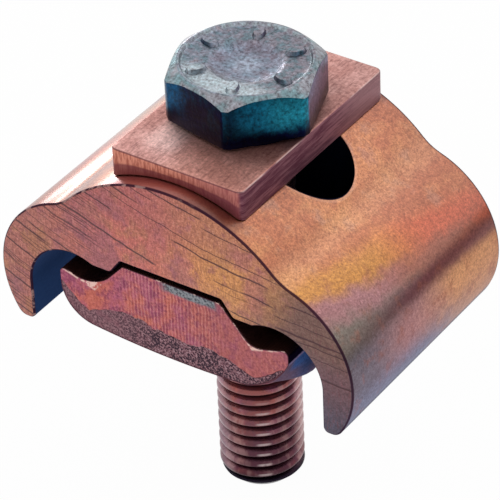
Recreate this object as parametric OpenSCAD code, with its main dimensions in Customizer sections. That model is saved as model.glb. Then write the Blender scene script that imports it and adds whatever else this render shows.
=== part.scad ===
// Parallel groove clamp: one bolt draws a boat-shaped jaw up under a hooked body,
// and a saddle washer lets the bolt rock over the body's rounded back.
// The origin is on the bolt's axis, midway between the two groove axes, where the rock axis crosses it.
// X runs across the clamp, Y along the conductors, Z up the bolt.

/* [Clamp body] */
// Length of the body along the conductors
body_length = 30.5; // [22:0.5:60]
// Radius of the rounded back that the saddle washer sits on
hump_r = 18.8; // [17:0.1:22]
// Radius of the outer shoulder over each groove
shoulder_r = 11.2; // [10.5:0.1:12.5]
// Distance of each shoulder's centre from the middle
shoulder_x = 12; // [11.5:0.1:13]
// Height of each shoulder's centre above the rock axis
shoulder_z = 1.2; // [0:0.1:2]
// Radius of the hollow blend between back and shoulder
blend_r = 6; // [0.5:0.1:8]
// Drop of the hook legs below the groove axes
leg_drop = 5.35; // [4:0.05:7]
// Rounding of each leg's tip on its outer side
tip_outer_r = 1.4; // [0.3:0.1:1.6]
// Rounding of each leg's tip on its inner side
tip_inner_r = 0.7; // [0.2:0.1:0.9]

/* [Conductor grooves] */
// Radius of each groove
groove_r = 6; // [5:0.1:6.5]
// Distance of each groove's axis from the middle
groove_x = 13.3; // [13:0.1:14]

/* [Recess and teeth] */
// Width of the recess at its ceiling
recess_width = 13.2; // [12.8:0.1:14]
// Height of the recess ceiling above the rock axis
recess_z = 7.35; // [7:0.05:9]
// Height of the two teeth's lower edges above the rock axis
tooth_z = 5.35; // [5:0.05:5.8]
// Slope of the recess flanks, measured from upright
recess_flank = 36; // [20:1:45]
// Rounding of each tooth towards the recess
tooth_r = 0.8; // [0.2:0.1:1]
// Rounding of the recess corners
recess_r = 0.4; // [0.1:0.1:0.8]

/* [Bolt slot] */
// Distance of the bolt's axis behind the middle of the body and the jaw
bolt_set_back = 0.7; // [0:0.1:2]
// End-to-end length of the slot across the body
slot_length = 25; // [19:0.5:26]
// Width of the slot along the conductors
slot_width = 11; // [10.5:0.1:14]

/* [Saddle washer] */
// Width across the clamp
washer_width = 17; // [14:0.1:22]
// Length along the conductors
washer_length = 28; // [18:0.5:40]
// Thickness over the crown of the back
washer_mid = 1.8; // [1:0.1:4]
// Rounding of the four upright corners
washer_corner_r = 0.8; // [0.2:0.1:3]
// Bolt hole
washer_hole_d = 11; // [10.2:0.1:13]

/* [Hex bolt] */
// Crest diameter of the thread
bolt_d = 9.9; // [9.6:0.05:10]
// Length under the head
bolt_length = 50; // [40:1:70]
// Pitch of the thread
thread_pitch = 1.5; // [1:0.05:2]
// Depth of the thread
thread_depth = 0.8; // [0.4:0.05:1]
// Width of the thread's flat crests
thread_crest = 0.35; // [0.1:0.05:0.6]
// Chamfer at the free end
bolt_end_chamfer = 1.1; // [0.4:0.1:2]
// Width of the head across its flats
head_af = 16; // [15:0.1:17]
// Height of the head
head_h = 6.3; // [5:0.1:8]
// Diameter of the flat on top of the head
head_flat_d = 15; // [12:0.1:15.8]
// Slope of the head's chamfer
head_chamfer_angle = 37; // [20:1:45]
// Turn of the hexagon about the bolt's axis
head_turn = 49; // [0:1:60]
// Width of the shallow dish in the head's top
dish_d = 8.4; // [4:0.1:11]
// Depth of the dish
dish_depth = 0.5; // [0.1:0.1:1.5]
// Width of the dish's sloping rim
dish_rim = 0.8; // [0.1:0.1:1.8]

/* [Clamp jaw] */
// Distance of the jaw's ends inside the body's ends
jaw_end_inset = 0; // [0:0.1:3]
// Width of the jaw across its tips
jaw_width = 30.2; // [29:0.1:31]
// Height of the jaw from the block's top to its lowest line
jaw_height = 10.25; // [9:0.05:16]
// Width of the centre block at its top
block_width = 12.8; // [11:0.1:13]
// Slope of the block's flanks, measured from level
block_flank = 48; // [46:1:55]
// Drop from the block's top to the tips' upper edges
tip_drop = 3; // [2.8:0.1:3.8]
// Slope of the upper faces that rise to the tips
wing_slope = 17; // [10:1:20]
// Rounding at the root of each V
root_r = 2; // [0.5:0.1:3]
// Rounding of the tips' upper edges
tip_edge_r = 0.6; // [0.2:0.1:1]
// Rounding of the jaw's lower corners
corner_r = 4.6; // [2:0.1:5]
// Radius of the slightly crowned underside
crown_r = 110; // [60:5:200]
// Rounding of the block's upper edges
block_edge_r = 0.5; // [0.2:0.1:1]
// Depth of the countersink at each end of the tapped hole
tap_countersink = 0.6; // [0.1:0.1:1]

/* [Fits] */
// Gap between the recess ceiling and the closed jaw
jaw_gap = 0.6; // [0.5:0.05:1.2]
// Radial gap between the back and the saddle washer
saddle_gap = 0.1; // [0.05:0.01:0.3]
// Gap between the saddle washer and the bolt's head
head_gap = 0.05; // [0.02:0.01:0.2]
// Radial clearance of the bolt in the jaw's tapped hole
thread_clearance = 0.05; // [0.02:0.01:0.1]

/* [Hidden] */
$fn = 96;
past = 1;
corner_past = 0.1;
leg_x = groove_x + groove_r;
body_reach = shoulder_x + shoulder_r + past;
recess_half = recess_width / 2;
recess_mouth = recess_half + (recess_z - tooth_z) * tan(recess_flank);
shoulder_c = [shoulder_x, shoulder_z];
blend_c = circles_meet(hump_r + blend_r, shoulder_c, shoulder_r + blend_r);
washer_z = hump_r + saddle_gap + washer_mid;
head_z = washer_z + head_gap;
bolt_r = bolt_d / 2;
jaw_length = body_length - 2 * jaw_end_inset;
jaw_top = recess_z - jaw_gap;
jaw_low = jaw_top - jaw_height;
jaw_half = jaw_width / 2;
block_half = block_width / 2;
block_edge = [block_half, jaw_top];
wing_edge = [jaw_half, jaw_top - tip_drop];
flank_run = [cos(block_flank), -sin(block_flank)];
wing_run = [-cos(wing_slope), -sin(wing_slope)];
v_root = line_meet(block_edge, flank_run, wing_edge, wing_run);
crown_c = [0, jaw_low + crown_r];
corner_run = crown_r - corner_r;
corner_x = jaw_half - corner_r;
corner_c = [corner_x, crown_c.y - sqrt(corner_run * corner_run - corner_x * corner_x)];
crown_end = crown_c + (corner_c - crown_c) * crown_r / corner_run;

// Unit vector along v
function unit(v) = v / norm(v);

// Crossing of the line through p along d with the line through q along e
function line_meet(p, d, q, e) = p + d * cross(q - p, e) / cross(d, e);

// Upper crossing of the circle of radius a about the origin with the circle of radius b about c
function circles_meet(a, c, b) =
    let (span = norm(c), along = (a * a - b * b + span * span) / (2 * span), u = c / span)
    u * along + [-u.y, u.x] * sqrt(a * a - along * along);

// Piece between the corner at v, with sides towards a and b, and an arc of radius r that touches both
module corner_piece(v, a, b, r) {
    ua = unit(a - v);
    ub = unit(b - v);
    half = acos(ua * ub) / 2;
    inward = unit(ua + ub);
    centre = v + inward * r / sin(half);
    difference() {
        polygon([v - inward * corner_past, v + ua * r / tan(half), centre, v + ub * r / tan(half)]);
        translate(centre) circle(r = r);
    }
}

// The same shape on both sides of the middle plane
module both_sides() {
    children();
    mirror([1, 0, 0]) children();
}

// A profile in X and Z, drawn out along Y about the middle of the body and the jaw
module along_y(length) {
    translate([0, -bolt_set_back, 0]) rotate([90, 0, 0])
        linear_extrude(height = length, center = true) children();
}

// Corner between the back and a shoulder, filled as far as the blend's centre
module blend_fill() {
    shoulder_touch = shoulder_c + unit(blend_c - shoulder_c) * shoulder_r;
    polygon([shoulder_c, shoulder_touch, blend_c, unit(blend_c) * hump_r]);
}

// Rounding of one leg's tip, where the shoulder's circle comes down to the tip
module leg_tip_cut() {
    rise = tip_outer_r - leg_drop - shoulder_z;
    reach = shoulder_r - tip_outer_r;
    centre = [shoulder_x + sqrt(reach * reach - rise * rise), tip_outer_r - leg_drop];
    touch = shoulder_c + (centre - shoulder_c) * shoulder_r / reach;
    side = [shoulder_z - touch.y, touch.x - shoulder_x];
    outer = line_meet(touch, side, [0, -leg_drop], [1, 0]);
    corner_piece(outer, touch, [0, -leg_drop], tip_outer_r);
    corner_piece([leg_x, -leg_drop], [leg_x, 0], [body_reach, -leg_drop], tip_inner_r);
}

// Trapezoid recess between the teeth, with its ceiling corners rounded
module recess() {
    ceiling = [recess_half, recess_z];
    tooth = [recess_mouth, tooth_z];
    floor_end = [recess_mouth, 0];
    flip = [[-1, 0], [0, 1]];
    difference() {
        polygon([flip * ceiling, flip * tooth, flip * floor_end, floor_end, tooth, ceiling]);
        both_sides() corner_piece(ceiling, [0, recess_z], tooth, recess_r);
    }
    both_sides() corner_piece(tooth, ceiling, [groove_x, tooth_z], tooth_r);
}

// Section of the body: rounded back and two shoulders over two hooked grooves
module body_profile() {
    difference() {
        union() {
            circle(r = hump_r);
            both_sides() {
                translate(shoulder_c) circle(r = shoulder_r);
                blend_fill();
            }
        }
        translate([-body_reach, -leg_drop - 2 * hump_r]) square([2 * body_reach, 2 * hump_r]);
        translate([-leg_x, -leg_drop - past]) square([2 * leg_x, leg_drop + past]);
        translate([-groove_x, -past]) square([2 * groove_x, tooth_z + past]);
        recess();
        both_sides() {
            translate(blend_c) circle(r = blend_r);
            translate([groove_x, 0]) circle(r = groove_r);
            leg_tip_cut();
        }
    }
}

// Upright slot with round ends that lets the bolt rock across the body
module bolt_slot() {
    straight = slot_length - slot_width;
    linear_extrude(height = hump_r + past) {
        square([straight, slot_width], center = true);
        both_sides() translate([straight / 2, 0]) circle(d = slot_width);
    }
}

module clamp_body() {
    color([0.72, 0.44, 0.30]) difference() {
        along_y(body_length) body_profile();
        bolt_slot();
    }
}

// Outline of the washer from above
module washer_outline() {
    corner_at = [washer_width / 2 - washer_corner_r, washer_length / 2 - washer_corner_r];
    square([washer_width, 2 * corner_at.y], center = true);
    square([2 * corner_at.x, washer_length], center = true);
    both_sides() for (s = [-1, 1]) translate([corner_at.x, s * corner_at.y]) circle(r = washer_corner_r);
}

module saddle_washer() {
    color([0.76, 0.55, 0.45]) difference() {
        linear_extrude(height = washer_z) washer_outline();
        rotate([90, 0, 0]) cylinder(r = hump_r + saddle_gap, h = washer_length + 2 * past, center = true);
        cylinder(d = washer_hole_d, h = washer_z + past);
    }
}

// Hexagon with a turned chamfer and a shallow dish in its top
module bolt_head() {
    flat_r = head_flat_d / 2;
    difference() {
        intersection() {
            rotate(head_turn) cylinder(d = head_af / cos(30), h = head_h, $fn = 6);
            cylinder(r1 = flat_r + head_h / tan(head_chamfer_angle), r2 = flat_r, h = head_h);
        }
        translate([0, 0, head_h - dish_depth])
            cylinder(r1 = dish_d / 2 - dish_rim, r2 = dish_d / 2, h = dish_depth);
    }
}

// Groove between two crests of the thread, from its root outwards
module thread_groove() {
    reach = thread_depth + past;
    half = reach * (thread_pitch - thread_crest) / (2 * thread_depth);
    polygon([[0, 0], [reach, -half], [reach, half]]);
}

// Round shank chamfered at its free end, with the thread's ridges as plain rings
module bolt_shank() {
    end_r = bolt_r - bolt_end_chamfer;
    end_z = bolt_end_chamfer - bolt_length;
    last_z = end_z + thread_pitch / 2;
    rotate_extrude() difference() {
        polygon([[0, -bolt_length], [end_r, -bolt_length], [bolt_r, end_z], [bolt_r, 0], [0, 0]]);
        for (z = [-thread_pitch : -thread_pitch : last_z])
            translate([bolt_r - thread_depth, z]) thread_groove();
    }
}

module hex_bolt() {
    color([0.60, 0.65, 0.68]) translate([0, 0, head_z]) {
        bolt_head();
        bolt_shank();
    }
}

// Section of the jaw: centre block, a V on each side, raised tips and a crowned underside
module jaw_profile() {
    above_block = block_edge + [0, past];
    above_tip = [jaw_half + past, jaw_top + past];
    beside_tip = wing_edge + [past, 0];
    difference() {
        intersection() {
            translate(crown_c) circle(r = crown_r);
            union() {
                translate([-crown_end.x, jaw_low - past])
                    square([2 * crown_end.x, jaw_height + past]);
                translate([-jaw_half, corner_c.y]) square([jaw_width, jaw_top - corner_c.y]);
                both_sides() translate(corner_c) circle(r = corner_r);
            }
        }
        both_sides() {
            difference() {
                polygon([above_block, block_edge, v_root, wing_edge, beside_tip, above_tip]);
                corner_piece(v_root, block_edge, wing_edge, root_r);
            }
            corner_piece(wing_edge, v_root, [jaw_half, corner_c.y], tip_edge_r);
            corner_piece(block_edge, v_root, [0, jaw_top], block_edge_r);
        }
    }
}

// Hole for the bolt's thread, countersunk at both ends
module tapped_hole() {
    hole_r = bolt_r + thread_clearance;
    mouth_r = hole_r + tap_countersink;
    translate([0, 0, jaw_low - past]) cylinder(r = hole_r, h = jaw_height + 2 * past);
    translate([0, 0, jaw_low]) cylinder(r1 = mouth_r, r2 = hole_r, h = tap_countersink);
    translate([0, 0, jaw_top - tap_countersink]) cylinder(r1 = hole_r, r2 = mouth_r, h = tap_countersink);
}

module clamp_jaw() {
    color([0.66, 0.38, 0.28]) difference() {
        along_y(jaw_length) jaw_profile();
        tapped_hole();
    }
}

clamp_body();
saddle_washer();
hex_bolt();
clamp_jaw();
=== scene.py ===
import math

import bmesh
import bpy
import numpy as np
from mathutils import Matrix, Vector, noise


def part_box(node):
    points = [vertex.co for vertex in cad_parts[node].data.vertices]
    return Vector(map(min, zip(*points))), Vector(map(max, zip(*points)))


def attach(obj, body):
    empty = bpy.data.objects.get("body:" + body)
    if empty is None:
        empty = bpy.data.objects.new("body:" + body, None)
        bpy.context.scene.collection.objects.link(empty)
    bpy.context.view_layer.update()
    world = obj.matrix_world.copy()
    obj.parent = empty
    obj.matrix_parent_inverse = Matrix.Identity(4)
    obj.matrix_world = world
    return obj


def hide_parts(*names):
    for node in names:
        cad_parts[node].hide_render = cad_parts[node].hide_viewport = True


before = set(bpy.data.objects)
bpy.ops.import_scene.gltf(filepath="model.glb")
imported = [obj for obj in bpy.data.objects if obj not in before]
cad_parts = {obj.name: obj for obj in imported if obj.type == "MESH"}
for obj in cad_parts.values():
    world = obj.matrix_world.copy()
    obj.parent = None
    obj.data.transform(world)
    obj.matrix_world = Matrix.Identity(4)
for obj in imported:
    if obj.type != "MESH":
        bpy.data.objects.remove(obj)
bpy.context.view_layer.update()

MM = 0.001

# Sizes in millimetres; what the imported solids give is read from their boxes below

# Body
HUMP_R = 18.8
SHOULDER_R = 11.2
SHOULDER = Vector((12.0, 1.2))
BLEND_R = 6.0
LEG_DROP = 5.35
TIP_OUTER_R = 1.4
TIP_INNER_R = 0.7
GROOVE_R = 6.0
GROOVE_X = 13.3
RECESS_HALF = 6.6
RECESS_Z = 7.35
RECESS_FLANK = 36.0
RECESS_R = 0.4
TOOTH_Z = 5.35
TOOTH_R = 0.8
SLOT_LENGTH = 25.0
SLOT_WIDTH = 11.0
SLOT_EDGE = 0.3
SAWN_EDGE = 0.24

# Washer
SADDLE_R = 18.9
WASHER_CORNER_R = 0.8
WASHER_HOLE_R = 5.5
WASHER_EDGE = 0.24
WASHER_FOOT = 0.12

# Bolt
BOLT_R = 4.95
PITCH = 1.5
THREAD_DEPTH = 0.8
END_CHAMFER = 1.1
NECK_DROP = 0.6
HEAD_GAP = 0.05
HEAD_FLAT_AF = 16.0
HEAD_TURN = 49.0
HEAD_FLAT_R = 7.5
HEAD_SLOPE = math.tan(math.radians(37.0))
HEAD_EDGE = 0.14
HEAD_CORNER = 0.22
HEAD_POINTS = 288
DISH_R = 4.2
DISH_RIM = 0.65
DISH_DEPTH = 0.5
MARK_COUNT = 6
MARK_RING_R = 5.55
MARK_LENGTH = 2.5
MARK_WIDTH = 1.45
MARK_HEIGHT = 0.4

# Jaw
BLOCK_HALF = 6.4
BLOCK_FLANK = 48.0
BLOCK_EDGE_R = 0.5
TIP_DROP = 3.0
TIP_EDGE_R = 0.6
WING_SLOPE = 17.0
ROOT_R = 2.0
PRESSED_ROOT_R = 5.0
CROWN_R = 110.0
CORNER_R = 4.6
FULL_CORNER_R = 1.2
SIDE_EDGE_Z = 1.9
ROLL_END = (9.5, -3.1)
ROLL_MIDDLE = (13.4, -1.6)
ROLL_STEPS = (0.4, 0.8, 1.3, 1.9, 2.6, 3.4, 4.2, 5.0)
SHEARED_EDGE = 0.14
TAP_R = 5.0
TAP_COUNTERSINK = 0.6
TAP_OVERRUN = 0.4


def box_mm(node):
    """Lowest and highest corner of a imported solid, in millimetres."""
    low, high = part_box(node)
    return low / MM, high / MM


BODY_LOW, BODY_HIGH = box_mm("clamp_body")
WASHER_HIGH = box_mm("saddle_washer")[1]
BOLT_LOW, BOLT_HIGH = box_mm("hex_bolt")
JAW_LOW, JAW_HIGH = box_mm("clamp_jaw")
HEAD_Z = WASHER_HIGH.z + HEAD_GAP


# Outlines

def arc(centre, radius, start, end, step=2.5):
    """Points on an arc between two angles in degrees, both ends included."""
    count = max(2, math.ceil(abs(end - start) / step))
    angles = np.radians(np.linspace(start, end, count + 1))
    return [(centre[0] + radius * math.cos(a), centre[1] + radius * math.sin(a)) for a in angles]


def heading(start, end):
    """Angle in degrees of the way from one point to another."""
    return math.degrees(math.atan2(end[1] - start[1], end[0] - start[0]))


def fillet(before, corner, after, radius, step=10.0):
    """Arc that rounds the corner between two straight sides."""
    corner = Vector(corner)
    a = (Vector(before) - corner).normalized()
    b = (Vector(after) - corner).normalized()
    half = a.angle(b) / 2
    centre = corner + (a + b).normalized() * radius / math.sin(half)
    start = heading(centre, corner + a * radius / math.tan(half))
    end = heading(centre, corner + b * radius / math.tan(half))
    return arc(centre, radius, start, start + (end - start + 180) % 360 - 180, step)


def meeting(p, p_angle, q, q_angle):
    """Crossing of two lines, each through a point at an angle in degrees."""
    d = Vector((math.cos(math.radians(p_angle)), math.sin(math.radians(p_angle))))
    e = Vector((math.cos(math.radians(q_angle)), math.sin(math.radians(q_angle))))
    gap = Vector(q) - Vector(p)
    return Vector(p) + d * (gap.cross(e) / d.cross(e))


def spread(points, count):
    """The same line with its points evenly spaced."""
    line = np.array(points, float)
    run = np.concatenate([[0], np.cumsum(np.linalg.norm(np.diff(line, axis=0), axis=1))])
    at = np.linspace(0, run[-1], count)
    return np.stack([np.interp(at, run, line[:, k]) for k in (0, 1)], 1)


def without_repeats(points, least=1e-4):
    """The points with those that repeat the one before left out."""
    kept = [points[0]]
    for p in points[1:]:
        if math.dist(p, kept[-1]) > least:
            kept.append(p)
    return kept


def inward(loop):
    """Unit vectors that point into a closed outline at each of its points."""
    ahead = np.roll(loop, -1, 0) - loop
    ahead /= np.linalg.norm(ahead, axis=1)[:, None]
    along = ahead + np.roll(ahead, 1, 0)
    along /= np.linalg.norm(along, axis=1)[:, None]
    x, z = loop[:, 0], loop[:, 1]
    turn = np.sign(np.sum(x * np.roll(z, -1) - np.roll(x, -1) * z))
    return np.stack([-along[:, 1], along[:, 0]], 1) * turn


def body_section():
    """Closed outline of the body's end: back, shoulders, hooked legs, grooves, teeth and recess."""
    far = HUMP_R + BLEND_R
    near = SHOULDER_R + BLEND_R
    span = SHOULDER.length
    along = (far ** 2 - near ** 2 + span ** 2) / (2 * span)
    u = SHOULDER / span
    blend = u * along + Vector((-u.y, u.x)) * math.sqrt(far ** 2 - along ** 2)
    rise = TIP_OUTER_R - LEG_DROP - SHOULDER.y
    reach = SHOULDER_R - TIP_OUTER_R
    tip = Vector((SHOULDER.x + math.sqrt(reach ** 2 - rise ** 2), TIP_OUTER_R - LEG_DROP))
    leg_x = GROOVE_X + GROOVE_R
    mouth = RECESS_HALF + (RECESS_Z - TOOTH_Z) * math.tan(math.radians(RECESS_FLANK))
    tooth, ceiling = (mouth, TOOTH_Z), (RECESS_HALF, RECESS_Z)
    crest = heading((0, 0), blend)
    groove_end = 180 - math.degrees(math.asin(TOOTH_Z / GROOVE_R))
    half = arc((0, 0), HUMP_R, 90, crest, 1.5)
    half += arc(blend, BLEND_R, crest - 180, heading(blend, SHOULDER), 6)
    half += arc(SHOULDER, SHOULDER_R, heading(SHOULDER, blend), heading(SHOULDER, tip), 2)
    half += arc(tip, TIP_OUTER_R, heading(SHOULDER, tip), -90, 8)
    half += arc((leg_x + TIP_INNER_R, TIP_INNER_R - LEG_DROP), TIP_INNER_R, -90, -180, 15)
    half += arc((GROOVE_X, 0), GROOVE_R, 0, groove_end, 3)
    half += fillet((GROOVE_X, TOOTH_Z), tooth, ceiling, TOOTH_R)
    half += fillet(tooth, ceiling, (0, RECESS_Z), RECESS_R, 15)
    other = [(-x, z) for x, z in reversed(half[1:])]
    return np.array(without_repeats(half + other), float)


def bow(start, middle, end, count=24):
    """Points on a curve that leaves its start and reaches its end in line with a middle point."""
    s = np.linspace(0, 1, count + 1)[:, None]
    start, middle, end = (np.array(p) for p in (start, middle, end))
    line = start * (1 - s) ** 2 + middle * 2 * s * (1 - s) + end * s ** 2
    return [tuple(p) for p in line]


def jaw_section(count=260):
    """Lines of the jaw's top and underside from left to right, each in full and at a sheared end."""
    half_width = JAW_HIGH.x
    side = (half_width, SIDE_EDGE_Z)
    tip = (half_width, JAW_HIGH.z - TIP_DROP)
    block = (BLOCK_HALF, JAW_HIGH.z)
    root = meeting(block, -BLOCK_FLANK, tip, WING_SLOPE)
    crown = Vector((0, JAW_LOW.z + CROWN_R))

    def underside(radius):
        reach = CROWN_R - radius
        corner_x = half_width - radius
        corner = Vector((corner_x, crown.y - math.sqrt(reach ** 2 - corner_x ** 2)))
        line = arc(crown, CROWN_R, -90, heading(crown, corner), 0.5)
        return line + arc(corner, radius, heading(crown, corner), 0, 5) + [side]

    def joined(left, right):
        whole = [(-x, z) for x, z in reversed(left[1:])] + right
        return spread(without_repeats(whole), count)

    def topside(root_radius):
        line = [(0, JAW_HIGH.z)]
        line += fillet((0, JAW_HIGH.z), block, root, BLOCK_EDGE_R)
        line += fillet(block, root, tip, root_radius, 5)
        return line + fillet(root, tip, side, TIP_EDGE_R) + [side]

    upper = topside(ROOT_R)
    full = underside(FULL_CORNER_R)
    rolled = arc(crown, CROWN_R, -90, heading(crown, ROLL_END), 0.5)
    rolled += bow(ROLL_END, ROLL_MIDDLE, side)
    tops = joined(upper, upper), joined(topside(PRESSED_ROOT_R), upper)
    return tops, (joined(full, full), joined(underside(CORNER_R), rolled))


def rounded_rectangle(half_x, half_y, radius, per_corner=6, per_long=40, per_short=26):
    """Outline of a plate with rounded corners, always with as many points."""
    corners = [(1, 1, 0), (-1, 1, 90), (-1, -1, 180), (1, -1, 270)]
    loop = []
    for k, (sx, sy, start) in enumerate(corners):
        centre = (sx * (half_x - radius), sy * (half_y - radius))
        bend = arc(centre, radius, start, start + 90, 90 / per_corner)
        nx, ny, turn = corners[(k + 1) % 4]
        after = (nx * (half_x - radius) + radius * math.cos(math.radians(turn)),
                 ny * (half_y - radius) + radius * math.sin(math.radians(turn)))
        steps = per_short if k % 2 == 0 else per_long
        edge = np.linspace(bend[-1], after, steps + 1)[1:-1]
        loop += bend + [tuple(p) for p in edge]
    return np.array(loop, float)


# Meshes

def new_object(name, data):
    """A mesh, camera or lamp put into the scene."""
    made = bpy.data.objects.new(name, data)
    bpy.context.scene.collection.objects.link(made)
    return made


def new_piece(name, points, faces):
    """A mesh object from its points and faces."""
    mesh = bpy.data.meshes.new(name)
    mesh.from_pydata([tuple(p) for p in points], [], faces)
    return new_object(name, mesh)


def skin(rings, closed_ends=True, ring_round=False):
    """Points and faces of closed rings joined one to the next, with flat ends or joined round."""
    count = len(rings[0])
    points = np.concatenate(rings)
    faces = []
    for r in range(len(rings) if ring_round else len(rings) - 1):
        a, b = r * count, (r + 1) % len(rings) * count
        faces += [(a + k, a + (k + 1) % count, b + (k + 1) % count, b + k) for k in range(count)]
    if closed_ends and not ring_round:
        faces.append(tuple(reversed(range(count))))
        faces.append(tuple(range(len(points) - count, len(points))))
    return points, faces


def outwards(piece):
    """Turns all faces outwards."""
    work = bmesh.new()
    work.from_mesh(piece.data)
    bmesh.ops.remove_doubles(work, verts=work.verts, dist=1e-5)
    bmesh.ops.dissolve_degenerate(work, edges=work.edges, dist=1e-5)
    bmesh.ops.recalc_face_normals(work, faces=work.faces)
    work.to_mesh(piece.data)
    work.free()


def settle(piece):
    """Makes the modified shape a plain mesh."""
    graph = bpy.context.evaluated_depsgraph_get()
    made = bpy.data.meshes.new_from_object(piece.evaluated_get(graph))
    piece.modifiers.clear()
    piece.data = made


def carve(piece, *cutters):
    """Cuts closed shapes out of a piece."""
    for cutter in cutters:
        outwards(cutter)
        cut = piece.modifiers.new("cut", "BOOLEAN")
        cut.operation = "DIFFERENCE"
        cut.solver = "EXACT"
        cut.object = cutter
        settle(piece)
        bpy.data.objects.remove(cutter)


def finish_piece(piece, body, material, node=None, sharp=32.0):
    """Brings a piece to metres, shades it and ties it to its body, its finish and its solid."""
    piece.data.transform(Matrix.Scale(MM, 4))
    piece.data.materials.clear()
    piece.data.materials.append(material)
    piece.data.shade_smooth()
    piece.data.set_sharp_from_angle(angle=math.radians(sharp))
    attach(piece, body)
    if node:
        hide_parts(node)
    return piece


def edge_steps(radius, count=3):
    """Depth and inset of each ring of a rounded edge, from the face to the side."""
    return [(radius * (1 - math.sin(a)), radius * (1 - math.cos(a)))
            for a in np.radians(np.linspace(90, 0, count + 1))]


def drawn_length(loop, front, back, edge):
    """Rings of an outline drawn out along Y, rounded over at both ends."""
    into = inward(loop)
    stations = [(front + depth, inset) for depth, inset in edge_steps(edge)]
    stations += [(back - depth, inset) for depth, inset in reversed(edge_steps(edge))]
    rings = []
    for y, inset in stations:
        flat = loop + into * inset
        rings.append(np.stack([flat[:, 0], np.full(len(flat), y), flat[:, 1]], 1))
    return rings


def stadium(length, width, step=3.0):
    """Outline of a slot with round ends."""
    shift = (length - width) / 2
    loop = arc((shift, 0), width / 2, -90, 90, step) + arc((-shift, 0), width / 2, 90, 270, step)
    return np.array(loop, float)


def slot_cutter():
    """Upright slot for the bolt."""
    loop = stadium(SLOT_LENGTH, SLOT_WIDTH)
    rings = [np.column_stack([loop, np.full(len(loop), z)]) for z in (0.0, HUMP_R + 4)]
    return new_piece("slot_cutter", *skin(rings))


def slot_rim_cutter():
    """Rounds the slot's upper rim where it breaks through the back."""
    loop = stadium(SLOT_LENGTH, SLOT_WIDTH)
    loop = spread(np.vstack([loop, loop[:1]]), 161)[:-1]
    out = -inward(loop)
    x, y = loop[:, 0], loop[:, 1]
    z = np.sqrt(HUMP_R ** 2 - x ** 2)
    rim = np.column_stack([x, y, z])
    over = np.column_stack([out, -x * out[:, 0] / z])
    over /= np.linalg.norm(over, axis=1)[:, None]
    down = np.array([0, 0, -1.0])
    bulge = 1 - math.sqrt(0.5)
    clear = np.column_stack([-out * 2, np.full(len(loop), 2)])
    rings = [rim + way * SLOT_EDGE for way in (over, (over + down) * bulge, down, clear)]
    return new_piece("rim_cutter", *skin(rings, ring_round=True))


def turned(profile, count=96):
    """Rings of a turned shape from its radii and heights."""
    angles = np.radians(np.arange(count) * 360 / count)
    spoke = np.column_stack([np.cos(angles), np.sin(angles)])
    return [np.column_stack([spoke * r, np.full(count, z)]) for r, z in profile]


def make_clamp_body():
    """The drawn body with its sawn ends and the slot for the bolt."""
    rings = drawn_length(body_section(), BODY_LOW.y, BODY_HIGH.y, SAWN_EDGE)
    piece = new_piece("clamp_body_drawn", *skin(rings))
    outwards(piece)
    carve(piece, slot_cutter(), slot_rim_cutter())
    return piece


def make_saddle_washer():
    """The thick washer, flat on top and hollow below."""
    half_x, half_y, top = WASHER_HIGH

    def rim(inset):
        return rounded_rectangle(half_x - inset, half_y - inset, WASHER_CORNER_R - inset)

    def over_saddle(flat, lift):
        return np.sqrt(SADDLE_R ** 2 - flat[:, 0] ** 2) + lift

    def at(flat, height):
        return np.column_stack([flat, np.broadcast_to(height, len(flat))])

    outer = rim(0)
    spoke = outer / np.linalg.norm(outer, axis=1)[:, None]
    hole = spoke * (WASHER_HOLE_R + WASHER_EDGE)
    shares = np.linspace(0, 1, 14)
    rings = [at(hole + (rim(WASHER_EDGE) - hole) * s, top) for s in shares]
    rings += [at(rim(inset), top - depth) for depth, inset in edge_steps(WASHER_EDGE)[1:]]
    foot = reversed(edge_steps(WASHER_FOOT))
    rings += [at(rim(inset), over_saddle(rim(inset), depth)) for depth, inset in foot]
    lower = [hole + (rim(WASHER_FOOT) - hole) * s for s in shares[::-1][1:]]
    rings += [at(flat, over_saddle(flat, 0)) for flat in lower]
    bore = spoke * WASHER_HOLE_R
    rings += [at(bore, over_saddle(bore, WASHER_EDGE)), at(bore, top - WASHER_EDGE)]
    piece = new_piece("saddle_washer_plate", *skin(rings, ring_round=True))
    outwards(piece)
    return piece


class Wire:
    """One output socket of a node; arithmetic on it adds Math nodes to its tree."""

    def __init__(self, graph, socket):
        self.graph = graph
        self.socket = socket

    def math(self, operation, other=None, swap=False):
        values = [self] if other is None else [other, self] if swap else [self, other]
        return self.graph.add("ShaderNodeMath", {"operation": operation}, dict(enumerate(values)))

    def __add__(self, other):
        return self.math("ADD", other)

    def __sub__(self, other):
        return self.math("SUBTRACT", other)

    def __rsub__(self, other):
        return self.math("SUBTRACT", other, swap=True)

    def __mul__(self, other):
        return self.math("MULTIPLY", other)

    def __truediv__(self, other):
        return self.math("DIVIDE", other)

    def __rtruediv__(self, other):
        return self.math("DIVIDE", other, swap=True)

    def __abs__(self):
        return self.math("ABSOLUTE")

    __radd__ = __add__
    __rmul__ = __mul__

    def least(self, other):
        return self.math("MINIMUM", other)

    def most(self, other):
        return self.math("MAXIMUM", other)

    def rise(self, low, high):
        """0 below low, 1 above high and smooth between; falls where low is the larger."""
        ends = {"Value": self, "From Min": low, "From Max": high}
        return self.graph.add("ShaderNodeMapRange", {"interpolation_type": "SMOOTHSTEP"}, ends)


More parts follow.
